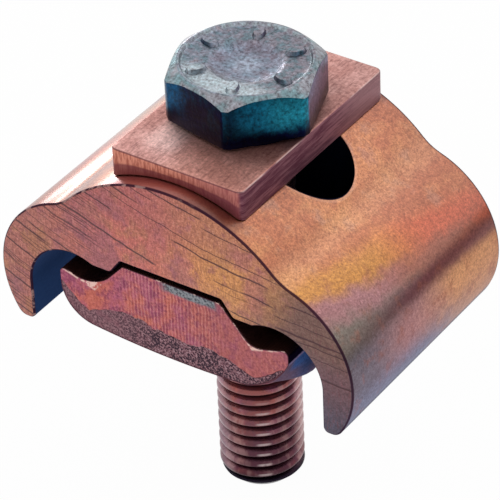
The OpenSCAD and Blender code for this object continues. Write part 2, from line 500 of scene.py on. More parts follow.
class Graph:
    """A node tree under construction, for a material or for a shape."""

    def __init__(self, tree):
        self.tree = tree

    def add(self, kind, settings=None, sockets=None, out=0):
        """Adds a node: its settings first, then the values or links of its sockets."""
        node = self.tree.nodes.new(kind)
        for name, value in (settings or {}).items():
            setattr(node, name, value)
        for name, value in (sockets or {}).items():
            if isinstance(value, Wire):
                self.tree.links.new(value.socket, node.inputs[name])
            else:
                node.inputs[name].default_value = value
        return Wire(self, node.outputs[out]) if node.outputs else node

    def end(self, kind, socket, wire):
        """Ends the tree in an output node."""
        self.tree.links.new(wire.socket, self.tree.nodes.new(kind).inputs[socket])

    def parts(self, vector):
        """The three parts of a vector."""
        split = self.add("ShaderNodeSeparateXYZ", {}, {0: vector}).socket.node
        return [Wire(self, split.outputs[k]) for k in range(3)]


def shape_tree(name, lengths, counts):
    """A new tree that makes a shape, and its inputs by name."""
    tree = bpy.data.node_groups.new(name, "GeometryNodeTree")
    inputs = {**dict.fromkeys(lengths, "Float"), **dict.fromkeys(counts, "Int"), "Finish": "Material"}
    for label, kind in inputs.items():
        tree.interface.new_socket(label, in_out="INPUT", socket_type="NodeSocket" + kind)
    tree.interface.new_socket("Shape", in_out="OUTPUT", socket_type="NodeSocketGeometry")
    g = Graph(tree)
    return g, {s.name: Wire(g, s) for s in tree.nodes.new("NodeGroupInput").outputs}


def end_shape_tree(g, shape, finish):
    """Ends a shape's tree in real faces with their finish."""
    whole = g.add("GeometryNodeRealizeInstances", {}, {"Geometry": shape})
    shown = g.add("GeometryNodeSetMaterial", {}, {"Geometry": whole, "Material": finish})
    g.end("NodeGroupOutput", "Shape", shown)
    return g.tree


# Bolt

def bolt_thread_tree():
    """Node tree for a helical thread round Z: rows follow the helix, so crests and roots stay crisp."""
    lengths = ("Crest radius", "Depth", "Pitch", "Start height", "End height", "End radius")
    g, size = shape_tree("bolt_thread", lengths, ("Turns", "Rows a turn", "Points a turn"))
    rows = size["Turns"] * size["Rows a turn"]
    grid = g.add("GeometryNodeMeshGrid", {}, {
        "Size X": 1.0, "Size Y": 1.0,
        "Vertices X": size["Points a turn"] + 1.0, "Vertices Y": rows + 1.0})
    u, v, _ = g.parts(g.add("GeometryNodeInputPosition"))
    across = u + 0.5
    down = (v + 0.5) * size["Turns"]
    angle = across * (2 * math.pi)
    share = (down + 0.0001).math("FRACT")
    from_crest = abs(share - 0.5) * 2.0
    depth = from_crest.math("POWER", 2.5)
    height = size["Start height"] + (across - down) * size["Pitch"]
    cone = size["End radius"] + (height - size["End height"])
    radius = (size["Crest radius"] - depth * size["Depth"]).least(cone.most(0.5))
    point = g.add("ShaderNodeCombineXYZ", {}, {
        "X": radius * angle.math("COSINE"), "Y": radius * angle.math("SINE"), "Z": height})
    moved = g.add("GeometryNodeSetPosition", {}, {"Geometry": grid, "Position": point})
    merged = g.add("GeometryNodeMergeByDistance", {}, {"Geometry": moved, "Distance": 0.002})
    return end_shape_tree(g, merged, size["Finish"])


def head_marks_tree():
    """Node tree for raised radial bars in a ring on the head."""
    lengths = ("Ring radius", "Bar length", "Bar width", "Bar height", "Level", "First angle")
    g, size = shape_tree("head_marks", lengths, ("Count",))
    ring = g.add("GeometryNodePoints", {}, {"Count": size["Count"], "Radius": 0.1})
    index = g.add("GeometryNodeInputIndex")
    angle = index / size["Count"] * (2 * math.pi) + size["First angle"]
    spot = g.add("ShaderNodeCombineXYZ", {}, {
        "X": size["Ring radius"] * angle.math("COSINE"),
        "Y": size["Ring radius"] * angle.math("SINE"), "Z": size["Level"]})
    placed = g.add("GeometryNodeSetPosition", {}, {"Geometry": ring, "Position": spot})
    bead = g.add("GeometryNodeMeshCone", {}, {
        "Vertices": 40, "Radius Top": 0.78, "Radius Bottom": 1.0, "Depth": 1.0})
    extent = g.add("ShaderNodeCombineXYZ", {}, {
        "X": size["Bar length"] / 2.0, "Y": size["Bar width"] / 2.0, "Z": size["Bar height"]})
    bar = g.add("GeometryNodeTransform", {}, {"Geometry": bead, "Scale": extent})
    turn = g.add("ShaderNodeCombineXYZ", {}, {"Z": angle})
    bars = g.add("GeometryNodeInstanceOnPoints", {}, {
        "Points": placed, "Instance": bar, "Rotation": turn})
    return end_shape_tree(g, bars, size["Finish"])


def grow(piece, tree, **sizes):
    """Runs a node tree on a piece with its named inputs set, and keeps the result as a plain mesh."""
    wanted = {name.replace("_", " ").capitalize(): value for name, value in sizes.items()}
    run = piece.modifiers.new("grow", "NODES")
    run.node_group = tree
    for socket in tree.interface.items_tree:
        if socket.in_out == "INPUT" and socket.name in wanted:
            run[socket.identifier] = wanted[socket.name]
    settle(piece)


def hex_radius(angles):
    """Distance from the axis to the hexagon's side at each angle in degrees, less at its corners."""
    flat = HEAD_FLAT_AF / 2
    off = (angles - HEAD_TURN) % 60 - 30
    return np.minimum(flat / np.cos(np.radians(off)), flat / math.cos(math.pi / 6) - HEAD_CORNER)


def bolt_head_rings():
    """Rings of the head from the dish's middle to the neck under the head."""
    degrees = HEAD_TURN + np.arange(HEAD_POINTS) * 360 / HEAD_POINTS
    spoke = np.column_stack([np.cos(np.radians(degrees)), np.sin(np.radians(degrees))])
    side = hex_radius(degrees)

    def ring(radius, height):
        flat = spoke * np.reshape(radius, (-1, 1))
        return np.column_stack([flat, np.broadcast_to(height, HEAD_POINTS)])

    def chamfer(radius):
        return BOLT_HIGH.z - (radius - HEAD_FLAT_R) * HEAD_SLOPE

    # Radius and height of each ring: first over the dish's floor, then over the ledge round it
    top = BOLT_HIGH.z - MARK_HEIGHT
    dish = [(0.4, 0.0), (1.4, 0.0), (2.4, 0.02), (DISH_R - DISH_RIM, 0.07)]
    ledge = [(DISH_R - DISH_RIM * 0.55, -DISH_DEPTH * 0.55), (DISH_R - 0.1, -0.06), (DISH_R + 0.25, 0.0)]
    ledge += [(5.2, 0.0), (6.0, 0.0), (6.6, 0.0), (6.85, 0.02), (7.05, 0.1)]
    ledge += [(7.25, MARK_HEIGHT - 0.02), (7.42, MARK_HEIGHT - 0.02)]
    rings = [ring(r, top - DISH_DEPTH + z) for r, z in dish]
    rings += [ring(r, top + z) for r, z in ledge]

    # Chamfer, six sides and the face under the head
    for s in (0.0, 0.08, 0.5, 1.0):
        radius = HEAD_FLAT_R + (side - HEAD_EDGE - HEAD_FLAT_R) * s
        rings.append(ring(radius, chamfer(radius) - 0.03 * (s == 0)))
    rings.append(ring(side - HEAD_EDGE * 0.3, chamfer(side) + HEAD_EDGE * 0.1))
    low, foot = chamfer(side) - HEAD_EDGE, HEAD_Z + 0.5
    rings += [ring(side, low + (foot - low) * s) for s in (0.0, 0.35, 0.7, 1.0)]
    rings += [ring(side - 0.05, HEAD_Z + 0.36), ring(side - 0.18, HEAD_Z + 0.3)]
    face = HEAD_FLAT_AF / 2 - 0.35
    return rings + [ring(face, HEAD_Z + 0.28), ring(face, HEAD_Z), ring(BOLT_R + 0.3, HEAD_Z)]


def make_hex_bolt(finish):
    """The bolt: dished hexagon head and a helical thread along the whole shank."""
    points, faces = skin(bolt_head_rings(), closed_ends=False)
    faces.append(tuple(range(HEAD_POINTS)))
    piece = new_piece("hex_bolt_threaded", points, faces)
    shank = new_piece("shank", [(0, 0, 0)], [])
    neck = HEAD_Z - NECK_DROP
    grow(shank, bolt_thread_tree(), crest_radius=BOLT_R, depth=THREAD_DEPTH, pitch=PITCH,
         start_height=neck + PITCH * 1.2, end_height=BOLT_LOW.z, end_radius=BOLT_R - END_CHAMFER,
         turns=math.ceil((neck - BOLT_LOW.z) / PITCH) + 3, rows_a_turn=16, points_a_turn=96,
         finish=finish)
    work = bmesh.new()
    work.from_mesh(shank.data)
    for z, up in ((neck, 1), (BOLT_LOW.z, -1)):
        parts = work.verts[:] + work.edges[:] + work.faces[:]
        bmesh.ops.bisect_plane(
            work, geom=parts, plane_co=(0, 0, z), plane_no=(0, 0, up), clear_outer=True)
    end = {v for v in work.verts if abs(v.co.z - BOLT_LOW.z) < 1e-4}
    low = [e for e in work.edges if e.is_boundary and end.issuperset(e.verts)]
    bmesh.ops.contextual_create(work, geom=low)
    work.to_mesh(shank.data)
    work.free()
    whole = bmesh.new()
    whole.from_mesh(piece.data)
    whole.from_mesh(shank.data)
    bmesh.ops.remove_doubles(whole, verts=whole.verts, dist=1e-4)
    bmesh.ops.bridge_loops(whole, edges=[e for e in whole.edges if e.is_boundary])
    whole.to_mesh(piece.data)
    whole.free()
    bpy.data.objects.remove(shank)
    outwards(piece)
    return piece


def make_head_marks(finish):
    """Raised radial bars on the head, the plain sign of a strong bolt."""
    piece = new_piece("head_strength_marks", [(0, 0, 0)], [])
    grow(piece, head_marks_tree(), ring_radius=MARK_RING_R, bar_length=MARK_LENGTH, bar_width=MARK_WIDTH,
         bar_height=MARK_HEIGHT, level=BOLT_HIGH.z - MARK_HEIGHT, first_angle=math.radians(HEAD_TURN),
         count=MARK_COUNT, finish=finish)
    return piece


# Jaw

# Line between the burnished and the torn part of the sheared end, across and up
TEAR_LINE = [(-15.1, 1.9), (-13.9, 0.8), (-12.6, -0.35), (-11.5, -1.05), (-10.2, -0.6), (-8.5, 0.15),
             (-6.5, 0.4), (-4.4, 0.45), (-3.0, -0.1), (2.2, -0.5), (4.5, 0.0), (7.2, -0.5), (10.0, -1.6),
             (10.8, -1.6), (12.3, -0.5), (13.8, 0.5), (15.1, 1.4)]
# How far the torn part may be sunk at the very edge of the end
EDGE_DEPTH = 0.1


def torn_share(x, z):
    """How far a place on the jaw's end lies in the torn part, from 0 to 1."""
    line = np.interp(x, *zip(*TEAR_LINE))
    wobble = 0.22 * noise.noise((x * 0.9, 3.1, 0.0)) + 0.1 * noise.noise((x * 3.1, 7.7, 0.0))
    return min(1.0, max(0.0, (line + wobble - z) / 0.16 + 0.5))


def end_depth(x, z, seed):
    """How far the sheared end is sunk at a place: nearly flat where burnished, coarse where torn."""
    torn = torn_share(x, z)
    coarse = noise.noise((x * 1.3, z * 1.3, seed)) + 0.6 * noise.noise((x * 3.4, z * 3.4, seed + 5))
    fine = 0.5 * noise.noise((x * 7.5, z * 7.5, seed + 9))
    return torn * (0.13 + 0.07 * coarse + 0.05 * fine)


def jaw_rings():
    """Rings of the jaw along Y: full in the middle, rolled in and pressed towards the sheared ends."""
    (top, pressed), (full, sheared) = jaw_section()
    near, far = [], []
    for depth, inset in edge_steps(SHEARED_EDGE) + [(step, 0.0) for step in ROLL_STEPS]:
        share = (1 - depth / ROLL_STEPS[-1]) ** 1.5
        upper = top + (pressed - top) * share
        lower = full + (sheared - full) * share
        loop = np.vstack([upper, lower[-2:0:-1]])
        flat = loop + inward(loop) * inset
        for rings, y in ((near, JAW_LOW.y + depth), (far, JAW_HIGH.y - depth)):
            rings.append(np.stack([flat[:, 0], np.full(len(flat), y), flat[:, 1]], 1))
    return near + far[::-1], len(top)


def make_clamp_jaw(rows=44):
    """The boat-shaped jaw with sheared ends and the tapped hole."""
    rings, wide = jaw_rings()
    points, faces = skin(rings, closed_ends=False)
    points = points.tolist()
    count = len(rings[0])
    for first, sign, seed in ((0, 1, 2.0), ((len(rings) - 1) * count, -1, 31.0)):
        ring = [first + k for k in range(count)]
        top = ring[:wide]
        bottom = [ring[0]] + ring[:wide - 2:-1][:wide - 2] + [ring[wide - 1]]
        grid = [top]
        for r in range(1, rows):
            line = [top[0]]
            for a, b in zip(top[1:-1], bottom[1:-1]):
                p = np.array(points[a]) + (np.array(points[b]) - points[a]) * r / rows
                line.append(len(points))
                points.append(p.tolist())
            grid.append(line + [top[-1]])
        grid.append(bottom)
        for r, line in enumerate(grid):
            most = EDGE_DEPTH if r in (0, rows) else math.inf
            for index in line[1:-1]:
                x, _, z = points[index]
                points[index][1] += sign * min(end_depth(x, z, seed), most)
        for above, below in zip(grid, grid[1:]):
            for k in range(wide - 1):
                quad = [above[k], above[k + 1], below[k + 1], below[k]]
                faces.append(tuple(dict.fromkeys(quad)))
    piece = new_piece("clamp_jaw_sheared", points, faces)
    outwards(piece)
    mouth = TAP_R + TAP_COUNTERSINK + TAP_OVERRUN
    hole = [(mouth, JAW_LOW.z - TAP_OVERRUN), (TAP_R, JAW_LOW.z + TAP_COUNTERSINK),
            (TAP_R, JAW_HIGH.z - TAP_COUNTERSINK), (mouth, JAW_HIGH.z + TAP_OVERRUN)]
    carve(piece, new_piece("hole_cutter", *skin(turned(hole))))
    return piece


# Finishes

# Middle of the saw blade's arcs on the body's ends, and spacing of the shear's strokes on the jaw's
SAW_X = 21.0
SAW_Z = 107.0
HATCH_PITCH = 0.45
# Middle of the valley between the rounded back and a shoulder
VALLEY_X = 14.4
# What dark and pale spots multiply a colour by
DARK_TINT = (0.45, 0.38, 0.40)
PALE_TINT = (1.45, 1.55, 1.6)


def empty_graph(owner):
    """The node tree of a material or of the surroundings, with nothing in it yet."""
    owner.use_nodes = True
    owner.node_tree.nodes.clear()
    return Graph(owner.node_tree)


def new_material(name):
    """A new material and its empty node tree."""
    made = bpy.data.materials.new(name)
    return made, empty_graph(made)


def mix(share, a, b, blend="MIX"):
    """Blends two colours."""
    a, b = (c if isinstance(c, Wire) else (*c, 1) for c in (a, b))
    settings = {"data_type": "RGBA", "blend_type": blend, "clamp_factor": True}
    return share.graph.add("ShaderNodeMix", settings, {0: share, 6: a, 7: b}, out=2)


def layered(base, *layers):
    """Lays colours over a base one after another, each by its own share."""
    for share, colour in layers:
        base = mix(share, base, colour)
    return base


def mottled(base, pattern, depth):
    """Darker and lighter spots on any colour, where a pattern is high and low."""
    dark = mix(pattern.rise(0.5, 0.66) * depth, base, DARK_TINT, "MULTIPLY")
    return mix(pattern.rise(0.5, 0.34) * depth, dark, PALE_TINT, "MULTIPLY")


def place(g):
    """Object coordinates in millimetres: the point and its three parts."""
    source = g.add("ShaderNodeTexCoord", out="Object")
    point = g.add("ShaderNodeVectorMath", {"operation": "SCALE"}, {0: source, "Scale": 1 / MM})
    return point, *g.parts(point)


def facing(g):
    """The three parts of the surface's own direction on the piece."""
    return g.parts(g.add("ShaderNodeTexCoord", out="Normal"))


def stretched(point, x, y, z):
    """The point with each direction scaled by its own number."""
    return point.graph.add("ShaderNodeVectorMath", {"operation": "MULTIPLY"}, {0: point, 1: (x, y, z)})


def shifted(point, x, y, z):
    """The point moved, so that a pattern starts elsewhere."""
    return point.graph.add("ShaderNodeVectorMath", {"operation": "ADD"}, {0: point, 1: (x, y, z)})


def grain(point, scale=1.0, detail=3.0, rough=0.55):
    """Soft random pattern from 0 to 1."""
    sockets = {"Vector": point, "Scale": scale, "Detail": detail, "Roughness": rough}
    return point.graph.add("ShaderNodeTexNoise", {}, sockets)


def reach(a, b):
    """Length of a way with two parts at right angles."""
    return (a * a + b * b).math("SQRT")


def from_end(y, low, high):
    """Distance along Y to the nearer end of a piece, from the piece's corners."""
    return (high.y - low.y) / 2 - abs(y - (low.y + high.y) / 2)


def chance(number):
    """A random value from 0 to 1 that depends on a number alone."""
    settings = {"noise_dimensions": "1D"}
    return number.graph.add("ShaderNodeTexWhiteNoise", settings, {"W": number}, out="Value")


def surface(made, base, roughness, height, distance, **others):
    """Ends a metal in a shader; the distance in millimetres scales the bump that height makes."""
    g = base.graph
    bump = {"Strength": 1.0, "Distance": distance * MM, "Height": height}
    sockets = {"Base Color": base, "Roughness": roughness, "Metallic": 1.0}
    sockets["Normal"] = g.add("ShaderNodeBump", {}, bump)
    sockets.update({name.replace("_", " "): value for name, value in others.items()})
    g.end("ShaderNodeOutputMaterial", "Surface", g.add("ShaderNodeBsdfPrincipled", {}, sockets))
    return made


def saw_lines(x, y, z, wander, pitch, seed, half_width, keep):
    """Broken arcs that a saw blade leaves on an end, each at its own place, width and length."""
    ring = (reach(x - SAW_X, z - SAW_Z) + wander) / pitch
    number = ring.math("FLOOR")
    off = abs(ring - number - 0.2 - chance(number + seed) * 0.6) * pitch
    width = half_width * (0.5 + chance(number + seed + 50.5))
    run = {"X": number * 3.7 + seed, "Y": x * 0.07, "Z": y.math("SIGN")}
    kept = grain(x.graph.add("ShaderNodeCombineXYZ", {}, run), 1.0, 2, 0.5)
    return (off / width).rise(1.5, 0.4) * kept.rise(keep, keep + 0.05)


def body_copper():
    """Drawn copper alloy with heat tints and sawn ends, painted shade on the inside and in the slot, and
    painted highlights and reflections on the back and shoulders.
    """
    made, g = new_material("body_copper")
    point, x, y, z = place(g)
    _, ny, _ = facing(g)
    cloud = grain(stretched(point, 1, 0.6, 1), 0.16, 3)
    drift = grain(shifted(point, 31, 7, 13), 0.3, 4, 0.6)
    blotch = grain(point, 0.5, 4, 0.6)
    speck = grain(point, 2.4, 3, 0.6)
    pore = grain(shifted(point, 5, 3, 9), 5.0, 2, 0.6)
    lines = grain(stretched(point, 6, 0.12, 6), 1.0, 3)

    # Heat tints run round each shoulder and change along it
    side = x.math("SIGN")
    over = abs(x) - SHOULDER.x
    turn = over.math("ARCTAN2", z - SHOULDER.y) * math.degrees(1)
    along = y * side
    heat = turn - along * 1.2 + (cloud - 0.5) * 30 + (blotch - 0.5) * 12
    back = mix((cloud * 0.6 + drift * 0.4).rise(0.42, 0.58), (0.49, 0.162, 0.075), (0.65, 0.27, 0.112))
    back = layered(
        back,
        (drift.rise(0.52, 0.66) * 0.65, (0.41, 0.19, 0.135)),
        (x.rise(5, 10) * y.rise(-4, 3) * 0.22, (0.44, 0.135, 0.085)))
    straw = mix(heat.rise(22, 40), back, (0.56, 0.235, 0.05))
    ripe = along + (cloud - 0.5) * 8
    low = layered(
        mix(ripe.rise(-14, -4), (0.19, 0.155, 0.185), (0.43, 0.21, 0.20)),
        (ripe.rise(-4, 7), (0.66, 0.315, 0.145)),
        # Lavender-blue on the lower shoulder: a heat tint with a painted reflection of a dim blue
        # surround; the dark navy after it is painted shade towards the underside
        ((turn + (blotch - 0.5) * 20).rise(84, 112) * ripe.rise(12, -2), (0.225, 0.225, 0.31)),
        (turn.rise(113, 120), (0.02, 0.03, 0.07)))
    # Painted reflection of a dark surround along each shoulder, partly a dark stain as well
    painted_reflection_band = abs(turn - 66 - along * 0.3 + (blotch - 0.5) * 7).rise(9, 1) * along.rise(-19, 1)
    top = layered(
        back,
        (heat.rise(20, 36), (0.60, 0.14, 0.07)),
        (along.rise(5, -6), straw),
        (heat.rise(45, 56), mix(along.rise(-8, 0), (0.39, 0.17, 0.175), (0.40, 0.13, 0.08))),
        (heat.rise(56, 70), mix(along.rise(-5, 2), (0.19, 0.15, 0.12), (0.27, 0.13, 0.075))),
        ((turn + (blotch - 0.5) * 6).rise(62, 74), low),
        (painted_reflection_band * 0.72, (0.165, 0.028, 0.052)),
        (x.rise(-7, -12) * 0.48, (0.25, 0.095, 0.06)),
        # Painted highlight along the valley between the back and each shoulder
        (abs(abs(x) - VALLEY_X + (blotch - 0.5) * 2).rise(2.0, 0.3) * 0.28, (0.80, 0.42, 0.22)),
        (blotch.rise(0.52, 0.7) * 0.4, (0.36, 0.105, 0.055)))
    calm = 1 - turn.rise(45, 75) * 0.2
    top = mottled(mottled(top, speck, calm * 0.36), pore, calm * 0.42)
    top = mix(pore.rise(0.66, 0.74) * speck.rise(0.45, 0.55) * 0.5, top, (0.10, 0.035, 0.03))
    # Painted shadow of the washer on the back just in front of and behind it, darker to the right
    washer_shadow_strip = (abs(y) + (blotch - 0.5) * 0.5).rise(WASHER_HIGH.y - 0.3, WASHER_HIGH.y)
    washer_shadow_strip = washer_shadow_strip * abs(x).rise(10.5, 6.5)
    washer_shadow_colour = mix(x.rise(-5, 1), (0.42, 0.125, 0.115), (0.32, 0.08, 0.075))
    washer_shadow_colour = mix(x.rise(0, 5.5), washer_shadow_colour, (0.13, 0.03, 0.026))
    top = mix(washer_shadow_strip * 0.85, top, washer_shadow_colour)

    # Sawn ends: long arcs of the blade over short upright strokes
    end = abs(ny).rise(0.90, 0.985)
    wander = (cloud - 0.5) * 1.2 + (speck - 0.5) * 0.08
    long_cuts = saw_lines(x, y, z, wander, 1.15, 3.0, 0.085, 0.50)
    lobe_cuts = saw_lines(x, y, z, wander, 0.5, 41.0, 0.055, 0.46) * x.rise(-7, -12)
    cuts = long_cuts.most(lobe_cuts * 0.8)
    upright = grain(stretched(point, 5.5, 1.0, 0.7), 1.0, 3, 0.7)
    lean = x - z * 0.5 + (blotch - 0.5) * 6
    face = layered(
        mix(x.rise(-4, 7), (0.57, 0.165, 0.128), (0.63, 0.285, 0.105)),
        (x.rise(-9, -18) * 0.7, (0.40, 0.165, 0.13)),
        (drift.rise(0.50, 0.64) * 0.5, (0.45, 0.205, 0.09)),
        (cloud.rise(0.50, 0.64) * 0.5, (0.42, 0.126, 0.165)),
        (blotch.rise(0.46, 0.36) * 0.45, (0.30, 0.094, 0.13)),
        (z.rise(10.5, 15) * 0.45, (0.36, 0.115, 0.125)),
        (lean.rise(4, 13), mix(z.rise(2, 6), (0.165, 0.08, 0.09), (0.20, 0.105, 0.085))),
        (z.rise(2, -5) * x.rise(10, 16), (0.08, 0.065, 0.10)),
        (upright.rise(0.52, 0.64) * 0.42, (0.20, 0.055, 0.065)),
        (upright.rise(0.46, 0.36) * 0.28 * lean.rise(10, 2), (0.66, 0.33, 0.24)),
        ((cloud - drift).rise(0.04, 0.14) * x.rise(-2, -8) * 0.35, (0.27, 0.10, 0.12)))
    face = mottled(mottled(face, speck, 0.3), pore, 0.4)
    face = mix(cuts * 0.88, face, (0.075, 0.024, 0.028))
    base = mix(end, top, face)

    # Painted shade on the inside and in the slot, a painted highlight round the slot, and painted shade
    # with pale spots along the rim round both ends
    # Painted shade: the underside and the slot go dark, also over the slot's near rim, turning blue
    # towards the legs
    inside = z.rise(8.4, 7.6) * abs(x).rise(19.6, 19.33) * (1 - end)
    slot_x = (abs(x) - (SLOT_LENGTH - SLOT_WIDTH) / 2).most(0.0)
    from_slot = reach(slot_x, y) - SLOT_WIDTH / 2 - y.rise(2, -3) * 0.2
    slot = from_slot.rise(0.12, 0.02)
    # Painted highlight: a faint pale line round the slot
    base = mix(from_slot.rise(0.42, 0.25) * 0.12, base, (0.85, 0.58, 0.47))
    dark = inside.most(slot)
    shade = mix(abs(x).rise(12, 19), (0.004, 0.006, 0.018), (0.019, 0.05, 0.14))
    base = mix(dark, base, shade)
    # Painted shade along the rounded edge of both ends, with pale spots that are partly wear and partly
    # painted highlight
    rim = from_end(y, BODY_LOW, BODY_HIGH).rise(0.36, 0.2) * (1 - end)
    rim_wear_and_glint = blotch.rise(0.54, 0.60) * x.rise(6, -6)
    rim_shade_and_wear = mix(rim_wear_and_glint * 0.6, (0.035, 0.012, 0.025), (0.50, 0.30, 0.27))
    base = mix(rim * 0.95, base, rim_shade_and_wear)
    rough = 0.34 + end * 0.14 + dark * 0.2 + speck * 0.14
    height = (lines * 0.3 + speck * 0.55 + pore * 0.2) * (1 - end) + end * (upright * 0.8 - cuts * 1.5)
    coat = (1 - end * 0.5) * (1 - dark) * (1 - rim) * (1 - turn.rise(55, 80) * (1 - end) * 0.9)
    return surface(made, base, rough, height, 0.035, Coat_Weight=coat, Coat_Roughness=0.22,
                   Specular_Tint=(0.6, 0.6, 0.7, 1))


def washer_copper():
    """Paler copper plate with scratches, darker and striped on its sheared sides."""
    made, g = new_material("washer_copper")
    point, x, y, z = place(g)
    nx, ny, nz = facing(g)
    cloud = grain(point, 0.22, 3)
    scratch = grain(stretched(point, 3.5, 0.5, 5.0), 1.0, 4, 0.65)
    speck = grain(point, 2.6, 3, 0.7)

    # Flat top, palest on the left, with painted light beside the head's front left and a painted shadow
    # of the head round it and towards the front right
    up = nz.rise(0.5, 0.9)
    near_head = reach(x - 2.5, y) + (cloud - 0.5) * 2
    top = layered(
        mix(cloud.rise(0.38, 0.62), (0.56, 0.28, 0.245), (0.68, 0.385, 0.345)),
        (scratch.rise(0.55, 0.68) * 0.5, (0.30, 0.115, 0.105)),
        # Painted light on the front left
        (x.rise(1, -4) * y.rise(-7, -10) * 0.12, (0.84, 0.53, 0.50)),
        (x.rise(-4, 1) * y.rise(-3, -7) * 0.5, (0.76, 0.36, 0.28)),
        # Painted shadow of the head towards the front right and beside its right
        (x.rise(0, 7) * y.rise(-8, -12) * 0.25, (0.26, 0.08, 0.06)),
        (x.rise(1, 6) * y.rise(-10, -7) * y.rise(-1, -5) * 0.5, (0.26, 0.08, 0.06)),
        (x.rise(3.5, 5.5) * abs(y + 2.5).rise(3, 1) * 0.6, (0.09, 0.035, 0.05)),
        (x.rise(2, 7) * y.rise(4, 10) * 0.35, (0.36, 0.19, 0.17)),
        # Painted light on the washer in front of the head's left side
        (abs(x + 4.0).rise(2.8, 0.8) * y.rise(-13, -10) * y.rise(2, -3) * 0.75, (0.95, 0.66, 0.61)),
        # Painted shadow of the head round its foot
        (near_head.rise(10.6, 9.0) * 0.2, (0.09, 0.035, 0.04)))
    top = mottled(mottled(top, speck, 0.42), scratch, 0.3)

    # Sides: lines along the long ones, upright strokes over painted shade at the foot of the short ones
    long_lines = grain(stretched(point, 1.0, 0.22, 3.5), 1.0, 4, 0.7)
    long_side = mix(long_lines.rise(0.4, 0.62), (0.15, 0.045, 0.075), (0.33, 0.145, 0.18))
    long_side = mix(y.rise(2, 11) * 0.55, long_side, (0.47, 0.27, 0.275))
    strokes = grain(stretched(point, 3.5, 1.0, 0.5), 1.0, 3, 0.7)
    hollow = (SADDLE_R * SADDLE_R - x * x).math("SQRT")
    up_side = (z - hollow) / (WASHER_HIGH.z - hollow) + (cloud - 0.5) * 0.3
    cross_side = layered(
        mix(strokes.rise(0.38, 0.6), (0.43, 0.14, 0.10), (0.70, 0.30, 0.215)),
        # Painted shade over the lower part of the short sides
        (up_side.rise(0.50, 0.40) * 0.75, (0.20, 0.05, 0.065)),
        (x.rise(-2, 7) * 0.45, (0.30, 0.08, 0.125)))
    side = mix(abs(nx).rise(0.3, 0.8), cross_side, long_side)
    edge = abs(nz - 0.6).rise(0.35, 0.15)
    base = layered(
        mix(up, side, top),
        (edge * cloud.rise(0.42, 0.58) * abs(nx).rise(0.2, 0.5) * 0.55, (0.84, 0.62, 0.58)),
        (edge * abs(ny).rise(0.2, 0.5) * 0.7, (0.13, 0.045, 0.06)),
        # Painted shade on the underside
        (nz.rise(-0.3, -0.8), (0.05, 0.02, 0.025)))
    rough = 0.5 + speck * 0.16
    height = scratch * 0.25 * up + speck * 0.6 + (1 - up) * (long_lines * 0.6 + strokes * 0.4)
    return surface(made, base, rough, height, 0.035)


